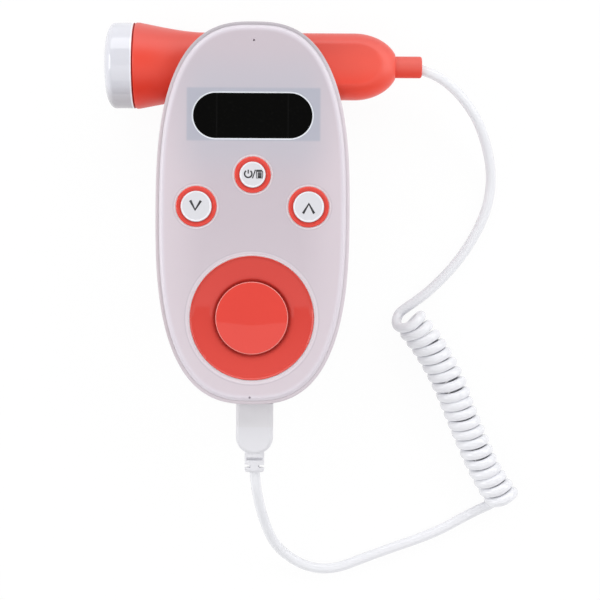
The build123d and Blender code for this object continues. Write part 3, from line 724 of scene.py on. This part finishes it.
sign_x, sign_y, sign_radius = -0.00160, 0.00028, 0.00135
ring_corners = [(sign_x + sign_radius * math.sin(math.radians(turn)),
                 sign_y + sign_radius * math.cos(math.radians(turn)))
                for turn in range(36, 325, 12)]
page_left, page_right, page_high, page_low = 0.00145, 0.00372, 0.00165, -0.00128
page_corner = 0.00057
prints = {          # name, corners from the cap's middle, width
    "power": [
        ("power_ring", ring_corners, 0.00056),
        ("power_bar", [(sign_x, sign_y + 0.00150), (sign_x, sign_y + 0.00010)], 0.00050),
        ("parting_stroke", [(0.00105, 0.00178), (-0.00004, -0.00138)], 0.00042),
        ("page_outline", [(page_left, page_high), (page_right - page_corner, page_high),
                          (page_right, page_high - page_corner), (page_right, page_low),
                          (page_left, page_low), (page_left, page_high)], 0.00034),
        ("page_head", [(0.00150, 0.00130), (0.00330, 0.00130)], 0.00062)]
    + [(name, [(0.00190, height), (0.00335, height)], 0.00046) for name, height in (
        ("page_line_1", 0.00060), ("page_line_2", 0.00008), ("page_line_3", -0.00044),
        ("page_foot", -0.00092))],
    "down": [("down_chevron", [(-0.00217, 0.00214), (-0.00034, -0.00134), (0.00176, 0.00204)],
              0.00092)],
    "up": [("up_chevron", [(-0.00207, -0.00244), (0.00007, 0.00114), (0.00203, -0.00244)],
            0.00092)],
}
for button, strokes in prints.items():
    for name, corners, width in strokes:
        stroke = printed_stroke(name, corners, width, button_places[button])
        finish_with(stroke, print_grey)
        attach(stroke, f"{button}_button")

# ---- Loudspeaker ----
# A glossy coral dish fills the round opening at the bottom of the cover. A flat coral disc stands
# on posts over its middle. Just outside the disc the dish drops by a millimetre, where the sound
# comes out from under it.
dish_low = 0.03390
dish_high = 0.03660
bowl_curve = 0.450          # the radius of the bowl's hollow
bowl = [(0.0001 * part, 0.03575 + (0.0001 * part) ** 2 / (2 * bowl_curve), 0)
        for part in range(222, 156, -9)]
moat = [(0.0156, 0.03602, 0), (0.0150, 0.03595, 0), (0.0145, 0.03577, 0), (0.0141, 0.03548, 0),
        (0.0138, 0.03505, 0), (0.0134, 0.03490, 0)]
dish = turned("sound_dish", [
    (0, dish_low, 0), (speaker_radius, dish_low, 0), (speaker_radius, dish_high, 0.00025),
    (0.02265, dish_high, 0.0002), *bowl, *moat, (0, 0.03490, 0)], (*speaker_place, 0), steps=160)
# Painted shade: the dish's coral is darker than the disc's, and darker still towards the top, for
# the shade of the recessed bowl.
dish_coral, tree, shader, place = surface_of("dish_coral")
axes = axes_of(tree, place)
toward_top = spread(tree, axes["Y"], 0, 1, span=(-0.066, -0.016))
tree.links.new(blend_colours(tree, toward_top, (0.745, 0.083, 0.066), (0.665, 0.058, 0.044)),
               shader.inputs["Base Color"])
shader.inputs["Roughness"].default_value = 0.025
finish_with(dish, dish_coral)
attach(dish, "main_unit")
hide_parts("speaker_dish")
disc_high = 0.03750
crown = [(0.0001 * part, disc_high - 0.00008 * (part / 131) ** 3, 0) for part in range(126, 0, -9)]
disc = turned("sound_disc", [
    (0, 0.03630, 0), (0.0132, 0.03630, 0.0002), (0.0134, 0.03650, 0.0001),
    (0.0134, 0.03742, 0.0003), *crown, (0, disc_high, 0)], (*speaker_place, 0), steps=160)
# The disc's rounded top edge gets the painted highlight.
finish_with(disc, coral_gloss, coral_edge_highlight)
paint_faces(disc, lambda middle, normal: middle.z > 0.0370 and 0.15 < normal.z < 0.97)
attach(disc, "main_unit")
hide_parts("speaker_disc")

# ---- Probe ----
# The hand probe: a gloss-white sound head on a matte coral handle, moulded in two halves whose
# seam runs along both sides. The trumpet narrows to a flat-topped grip, and the nose closes on
# the stub that the cord comes out of.
probe_y = 0.0557
probe_z = 0.0166
joint_x = -0.0490
head_rear_x = -0.04905
head_rounding = 0.0003
shoulder = [(0.0083 + 0.0079 * math.sin(math.radians(turn)),
             -0.0563 - 0.0037 * math.cos(math.radians(turn)), 0) for turn in range(0, 91, 6)]
head = turned("sound_head", [
    (0, -0.0600, 0), *shoulder, (0.0162, head_rear_x, head_rounding), (0.0142, head_rear_x, 0),
    (0.0142, -0.0470, 0), (0.0126, -0.0470, 0), (0.0126, -0.0546, 0), (0.0100, -0.0578, 0),
    (0, -0.0578, 0)], (0, probe_y, probe_z), axis="X", steps=160)
head_white, tree, shader, place = surface_of("head_white")
axes = axes_of(tree, place)
# Painted shade: the head's white darkens towards the bottom.
toward_bottom = spread(tree, axes["Y"], 1, 0, span=(probe_y - 0.0150, probe_y - 0.0080))
head_tint = blend_colours(tree, toward_bottom, (0.742, 0.745, 0.807), (0.500, 0.486, 0.522))
# Painted highlight: a bright line along the head's rear edge at the joint.
joint_highlight_share = spread(tree, axes["X"], 0, 1, span=(-0.05005, -0.04975))
tree.links.new(blend_colours(tree, joint_highlight_share, head_tint, (0.880, 0.880, 0.930)),
               shader.inputs["Base Color"])
shader.inputs["Roughness"].default_value = 0.012
shader.inputs["Specular IOR Level"].default_value = 1.0
# Painted shade: the head's rear rounding, in the groove against the handle, is dark red.
finish_with(head, head_white, moulded("joint_red_shade", (0.42, 0.030, 0.020), 0.5))
paint_faces(head, lambda middle, normal: middle.x > head_rear_x - head_rounding + 0.00001)
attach(head, "probe")
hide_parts("probe_head_cap")

rim_rounding = 0.0009
rim_radius = 0.0163
grip_half_width = 0.0126
grip_half_height = 0.0089
crown_half_height = 0.0104
grip_squareness = 2.4
crease_softness = 0.0003
flare_end_x = -0.0210
neck_x = -0.0474            # where the trumpet starts to narrow
nose_start_x = 0.0342
nose_reach = 0.0169
nose_turn = 67.4            # how far round the nose goes before the stub covers it


def handle_size(x):
    """The handle's half width, half height and squareness at a place along it."""
    if x > nose_start_x:
        turn = math.asin((x - nose_start_x) / nose_reach)
        return (grip_half_width * math.cos(turn), crown_half_height * math.cos(turn) ** 0.82,
                grip_squareness)
    wide = min(1.0, max(0.0, (flare_end_x - x) / (flare_end_x - neck_x)))
    high = min(1.0, max(0.0, (-0.0250 - x) / 0.0220))
    rounding = max(0.0, rim_rounding - (x - joint_x))
    inset = rim_rounding - math.sqrt(max(0.0, rim_rounding ** 2 - rounding ** 2))
    square = 2 + (grip_squareness - 2) * min(1.0, max(0.0, (x - neck_x) / (flare_end_x - neck_x)))
    wide = wide ** 2 * (1.55 - 0.55 * wide)
    high = high ** 2 * (3 - 2 * high)
    return (grip_half_width + (rim_radius - grip_half_width) * wide - inset,
            crown_half_height + (rim_radius - crown_half_height) * high - inset, square)


def flattened(height, x):
    """A height on the round form, once the grip is planed flat above and below, soft-edged."""
    flat = grip_half_height + max(0.0, -0.0150 - x) * 0.6
    over = abs(height) - flat
    planed = abs(height) - (over + math.sqrt(over * over + crease_softness ** 2)) / 2
    return math.copysign(planed, height)


stations = [joint_x + rim_rounding * (1 - math.cos(math.radians(turn)))
            for turn in range(0, 90, 15)]
stations += [joint_x + rim_rounding + 0.0009 * step for step in range(31)]
stations += [-0.012, 0.0, 0.012, 0.024, nose_start_x]
stations += [nose_start_x + nose_reach * math.sin(math.radians(nose_turn * step / 28))
             for step in range(1, 29)]
bpy.ops.mesh.primitive_circle_add(vertices=128, radius=1, fill_type="NGON",
                                  rotation=(0, math.pi / 2, 0), location=(stations[0], 0, 0))
handle = bpy.context.object
handle.name = "probe_handle"
bpy.ops.object.transform_apply(location=True, rotation=True, scale=True)
bpy.ops.object.mode_set(mode="EDIT")
bpy.ops.mesh.select_all(action="SELECT")
for before, after in zip(stations, stations[1:]):
    bpy.ops.mesh.extrude_region_move(TRANSFORM_OT_translate={"value": (after - before, 0, 0)})
bpy.ops.object.mode_set(mode="OBJECT")
for corner in handle.data.vertices:
    half_width, half_height, square = handle_size(corner.co.x)
    across, up = corner.co.y, corner.co.z
    corner.co.y = probe_y + half_width * math.copysign(abs(across) ** (2 / square), across)
    height = half_height * math.copysign(abs(up) ** (2 / square), up)
    corner.co.z = probe_z + flattened(height, corner.co.x)
seam_half_width = 0.00022
seam_depth = 0.00016
pick(handle, lambda corner: abs(corner.z - probe_z) < 0.000001)
bpy.ops.mesh.bevel(offset=seam_half_width, segments=2)
bpy.ops.object.mode_set(mode="OBJECT")
for corner in handle.data.vertices:
    if abs(corner.co.z - probe_z) < 0.000001:
        corner.co.y += math.copysign(seam_depth, probe_y - corner.co.y)
settle(handle)
coral_matte, tree, shader, place = surface_of("coral_matte")
axes = axes_of(tree, place)
# Painted light and shade: the coral is pinker and duller along the top, deeper and darker along the
# bottom, and lighter towards the grip than by the head.
upper_half = spread(tree, axes["Y"], 0, 1, span=(probe_y, probe_y + 0.013))
lower_half = spread(tree, axes["Y"], 1, 0, span=(probe_y - 0.013, probe_y))
toward_head = spread(tree, axes["X"], 1, 0, span=(-0.045, 0.020))
middle_coral = blend_colours(tree, toward_head, (0.915, 0.110, 0.076), (0.855, 0.067, 0.038))
middle_coral = blend_colours(tree, upper_half, middle_coral, (0.760, 0.100, 0.078))
lower_coral = blend_colours(tree, toward_head, (0.985, 0.054, 0.022), (0.815, 0.024, 0.001))
tree.links.new(blend_colours(tree, lower_half, middle_coral, lower_coral),
               shader.inputs["Base Color"])
tree.links.new(spread(tree, noise_on(tree, place), 0.36, 0.42), shader.inputs["Roughness"])
shader.inputs["Specular IOR Level"].default_value = 0.55
grain_on(tree, shader, place, 2200, 0.25)
finish_with(handle, coral_matte)
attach(handle, "probe")
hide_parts("probe_upper_shell", "probe_lower_shell")
stub = turned("probe_stub", [
    (0.0021, 0.0480, 0), (0.0041, 0.0480, 0), (0.0041, 0.0600, 0.0008), (0.0026, 0.0600, 0.0003),
    (0.0021, 0.0594, 0)], (0, probe_y, probe_z), axis="X", steps=64)
stub_coral, tree, shader, place = surface_of("stub_coral")
axes = axes_of(tree, place)
# Painted light and shade: the stub's coral is lighter and pinker on top and deeper at the bottom.
toward_bottom = spread(tree, axes["Y"], 1, 0, span=(probe_y - 0.0040, probe_y + 0.0010))
tree.links.new(blend_colours(tree, toward_bottom, (0.810, 0.132, 0.104), (0.900, 0.058, 0.030)),
               shader.inputs["Base Color"])
shader.inputs["Roughness"].default_value = 0.55
shader.inputs["Specular IOR Level"].default_value = 0.4
finish_with(stub, stub_coral)
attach(stub, "probe")
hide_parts("probe_strain_relief")

# ---- Plug ----
# A flat plug, moulded in white, whose end is half round. A slotted boot lets the cord bend where
# it leaves. The metal shell and the contacts go into the socket in the unit's bottom end.
plug_x = -0.0026
plug_z = 0.0240
plug_top_y = -0.0723
plug_end_y = -0.0913
plug_half_width = 0.00695
plug_half_height = 0.0035
round_end_reach = 0.0065
round_start_y = plug_end_y + round_end_reach
built_past_top = 0.002      # cut off again once the edges are rounded
bpy.ops.mesh.primitive_circle_add(vertices=128, radius=1, fill_type="NGON", location=(0, 0, 0))
plug_body = bpy.context.object
plug_body.name = "plug_moulding"
for corner in plug_body.data.vertices:
    x, y = corner.co.x, corner.co.y
    if y > 0:
        squared = max(abs(x), y)
        x, y = x / squared, y / squared
        reach = plug_top_y + built_past_top - round_start_y
    else:
        reach = round_end_reach
    corner.co = (plug_x + plug_half_width * x, round_start_y + reach * y, plug_z - plug_half_height)
bpy.ops.object.mode_set(mode="EDIT")
bpy.ops.mesh.select_all(action="SELECT")
bpy.ops.mesh.extrude_region_move(TRANSFORM_OT_translate={"value": (0, 0, 2 * plug_half_height)})
bpy.ops.mesh.select_all(action="SELECT")
bpy.ops.mesh.normals_make_consistent(inside=False)
for side in (1, -1):
    pick(plug_body, lambda corner: (corner.z - plug_z) * side > plug_half_height - 0.0001)
    bpy.ops.mesh.bevel(offset=0.0014, segments=6, profile=0.45)
bpy.ops.object.mode_set(mode="OBJECT")
bpy.ops.mesh.primitive_cube_add(size=0.02, location=(plug_x, plug_top_y + 0.01, plug_z))
cut(plug_body, bpy.context.object)
settle(plug_body)
plug_white, tree, shader, place = surface_of("plug_white")
axes = axes_of(tree, place)
# Painted shade: the plug is a little darker where it meets the unit's bottom end.
near_unit = spread(tree, axes["Y"], 0, 1, span=(-0.0812, -0.0808))
tree.links.new(blend_colours(tree, near_unit, (0.782, 0.778, 0.815), (0.765, 0.757, 0.785)),
               shader.inputs["Base Color"])
tree.links.new(spread(tree, noise_on(tree, place, 80), 0.30, 0.38), shader.inputs["Roughness"])
grain_on(tree, shader, place, 1500, 0.1, 0.00006)
finish_with(plug_body, plug_white)
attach(plug_body, "plug")
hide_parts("plug_body")

boot_start_y = plug_end_y + 0.0010
boot_end_y = -0.0981
boot_radius = 0.0037
boot_flatness = 0.78
bpy.ops.mesh.primitive_cylinder_add(
    vertices=64, radius=boot_radius, depth=boot_start_y - boot_end_y,
    location=(plug_x, (boot_start_y + boot_end_y) / 2, plug_z),
    rotation=(math.pi / 2, 0, 0), scale=(1, boot_flatness, 1))
boot = bpy.context.object
boot.name = "plug_strain_boot"
bpy.ops.object.transform_apply(location=True, rotation=True, scale=True)
pick(boot, lambda corner: corner.y < boot_end_y + 0.0001)
bpy.ops.mesh.bevel(offset=0.0010, segments=5)
bpy.ops.object.mode_set(mode="OBJECT")
flat_slot = (0.0062, 0.0011, 0.0034)
side_slot = (0.0046, 0.0010, 0.0080)
for shift, size in (((0, -0.0017, 0.0029), flat_slot), ((0, -0.0017, -0.0029), flat_slot),
                    ((0.0037, -0.0045, 0), side_slot), ((-0.0037, -0.0045, 0), side_slot)):
    place_in_boot = Vector((plug_x, plug_end_y, plug_z)) + Vector(shift)
    bpy.ops.mesh.primitive_cube_add(size=1, location=place_in_boot, scale=size)
    slot_cutter = bpy.context.object
    bpy.ops.object.transform_apply(location=True, rotation=True, scale=True)
    rounding = slot_cutter.modifiers.new("rounding", "BEVEL")
    rounding.width = 0.0004
    rounding.segments = 3
    bpy.ops.object.modifier_apply(modifier=rounding.name)
    cut(boot, slot_cutter)
settle(boot)
paint_faces(boot, lambda middle, normal: boot_end_y + 0.0004 < middle.y < plug_end_y - 0.0008
            and math.hypot((middle.x - plug_x) / boot_radius,
                           (middle.z - plug_z) / (boot_radius * boot_flatness)) < 0.95)
finish_with(boot, plug_white, moulded("slot_shade", (0.42, 0.42, 0.44), 0.6))
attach(boot, "plug")
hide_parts("plug_boot")
steel = moulded("steel", (0.60, 0.60, 0.60), 0.30)
gold = moulded("gold", (0.78, 0.57, 0.22), 0.25)
for metal in (steel, gold):
    metal.node_tree.nodes["Principled BSDF"].inputs["Metallic"].default_value = 1.0
dress(steel, "plug_shell")
dress(gold, "plug_contacts")

# ---- Inside ----
# What the casing and the probe hold: boards with their chips and switches, the loudspeaker's
# frame, cone and magnet, two cells with their contacts, and the probe's crystals and backing.
# The plain solids under the finished pieces above get the same finishes.
dress(moulded("board_green", (0.02, 0.16, 0.07), 0.35, coat=0.3),
      "main_board", "socket_board", "probe_board")
dress(moulded("chip_black", (0.020, 0.020, 0.022), 0.5, grain=0.3), "board_chips", "tact_switches")
dress(moulded("frame_black", (0.03, 0.03, 0.03), 0.5, grain=0.2), "speaker_frame")
dress(moulded("cone_paper", (0.06, 0.06, 0.06), 0.9, grain=0.6, mottle=0.1), "speaker_cone")
dress(moulded("cell_jacket", (0.10, 0.12, 0.16), 0.25, coat=0.4), "battery_cells")
dress(moulded("crystal", (0.55, 0.50, 0.40), 0.6), "piezo_crystals")
dress(moulded("matching_grey", (0.30, 0.30, 0.32), 0.5), "matching_layer")
dress(moulded("backing", (0.10, 0.10, 0.11), 0.8, grain=0.5), "crystal_backing")
dress(steel, "case_screws", "probe_socket", "battery_contacts", "speaker_magnet")
dress(soft_grey, "speaker_gasket")
dress(vinyl, "upper_lead", "cord_coil", "lower_lead")
dress(milky, "front_panel")
dress(plug_white, "plug_body", "plug_boot")
dress(coral_matte, "probe_upper_shell", "probe_lower_shell", "probe_strain_relief")
dress(coral_gloss, "speaker_dish", "speaker_disc",
      "power_button_collar", "down_button_collar", "up_button_collar")
dress(cap_white, "power_button_cap", "down_button_cap", "up_button_cap", "probe_head_cap")

# ---- Floor and studio light ----
# A plain white table in a light tent: a tall bright wall behind, one to each side, a wide faint
# softbox overhead that starts over the middle of the view, and a weaker room, brighter in front.
# The camera itself sees the table and the room as plain white.
bpy.ops.mesh.primitive_plane_add(size=8, location=(0, 0, 0))
floor = bpy.context.object
floor.name = "floor"
table = bpy.data.materials.new("white_table")
table.use_nodes = True
tree = table.node_tree
tree.nodes["Principled BSDF"].inputs["Base Color"].default_value = (0.80, 0.80, 0.80, 1)
tree.nodes["Principled BSDF"].inputs["Roughness"].default_value = 0.9
glow = tree.nodes.new("ShaderNodeEmission")
glow.inputs["Strength"].default_value = 1.02
glow_share = 0.92           # the rest shows the object's shadow
ray = tree.nodes.new("ShaderNodeLightPath")
seen = figure(tree, "MAXIMUM", ray.outputs["Is Camera Ray"], ray.outputs["Is Glossy Ray"])
seen = figure(tree, "MAXIMUM", seen, ray.outputs["Is Transmission Ray"])
mixed = tree.nodes.new("ShaderNodeMixShader")
tree.links.new(figure(tree, "MULTIPLY", seen, glow_share), mixed.inputs["Fac"])
tree.links.new(tree.nodes["Principled BSDF"].outputs["BSDF"], mixed.inputs[1])
tree.links.new(glow.outputs["Emission"], mixed.inputs[2])
tree.links.new(mixed.outputs["Shader"], tree.nodes["Material Output"].inputs["Surface"])
finish_with(floor, table)


def softbox(place, width, height, brightness, aim=(0.015, -0.02, 0.02)):
    """An oblong lamp that faces the object. Its brightness is that of its white front."""
    turn = (Vector(aim) - Vector(place)).to_track_quat("-Z", "Y").to_euler()
    bpy.ops.object.light_add(type="AREA", location=place, rotation=turn)
    lamp = bpy.context.object.data
    lamp.shape = "RECTANGLE"
    lamp.size = width
    lamp.size_y = height
    lamp.energy = brightness * math.pi * width * height


softbox((0.05, 1.20, 0.80), 2.6, 0.85, 1.70)
softbox((-1.15, 0.12, 0.62), 0.66, 0.80, 3.1)
softbox((1.20, 0.35, 0.65), 1.1, 0.80, 2.0)
softbox((0.02, -0.62, 1.10), 1.8, 1.12, 0.6, aim=(0.02, -0.62, 0))
room = bpy.data.worlds.new("room")
room.use_nodes = True
tree = room.node_tree
tree.nodes["Background"].inputs["Color"].default_value = (1, 1, 1, 1)
direction = tree.nodes.new("ShaderNodeSeparateXYZ")
looking_along = tree.nodes.new("ShaderNodeTexCoord").outputs["Generated"]
tree.links.new(looking_along, direction.inputs["Vector"])
tent_wall = spread(tree, direction.outputs["Z"], 0.85, 0.05, span=(0.15, 0.75))
ray = tree.nodes.new("ShaderNodeLightPath")
brightness = tree.nodes.new("ShaderNodeMix")
room_light = spread(tree, direction.outputs["Y"], 0.74, 0.33, span=(-0.9, 0.4))
tree.links.new(room_light, brightness.inputs[2])
tree.links.new(ray.outputs["Is Glossy Ray"], brightness.inputs[0])
dark_front = spread(tree, direction.outputs["Y"], 0.15, 1, span=(-0.80, -0.20))
tree.links.new(figure(tree, "MULTIPLY", tent_wall, dark_front), brightness.inputs[3])
background = figure(tree, "MAXIMUM", brightness.outputs[0], ray.outputs["Is Camera Ray"])
tree.links.new(background, tree.nodes["Background"].inputs["Strength"])
bpy.context.scene.world = room
